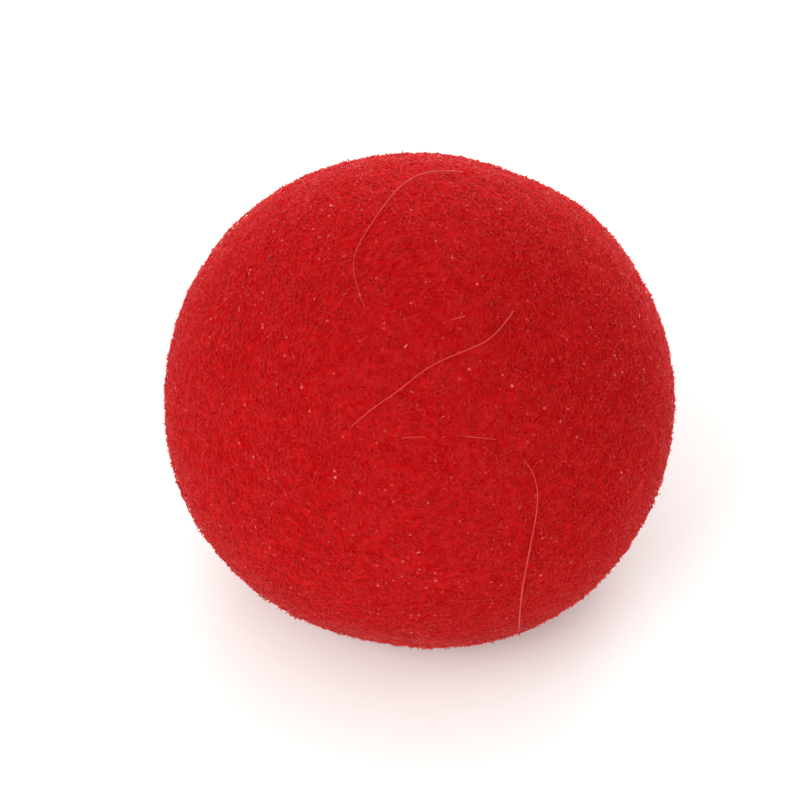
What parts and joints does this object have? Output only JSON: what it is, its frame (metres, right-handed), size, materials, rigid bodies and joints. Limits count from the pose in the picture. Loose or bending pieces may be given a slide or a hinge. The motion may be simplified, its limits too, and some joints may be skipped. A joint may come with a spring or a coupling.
{
  "type": "foam clown nose",
  "caption": "Soft red foam ball worn over the tip of the nose, cut flat at the back with a round tapered hollow that grips the wearer's nose.",
  "frame": {"origin": "on the plane of the flat back, under the middle of the ball, which is also the plane that the nose lies on", "axes": "+Z from the flat back to the front of the nose, which faces up as it lies; +X to the right and +Y away from the picture's camera"},
  "size_m": [0.0506, 0.0498, 0.0437],
  "materials": {
    "red_foam": "open-cell flexible polyurethane foam dyed red, cut and ground to shape, matt with a soft pale bloom at the edges"
  },
  "bodies": {
    "root": {"foam_nose": "red_foam"}
  },
  "joints": []
}
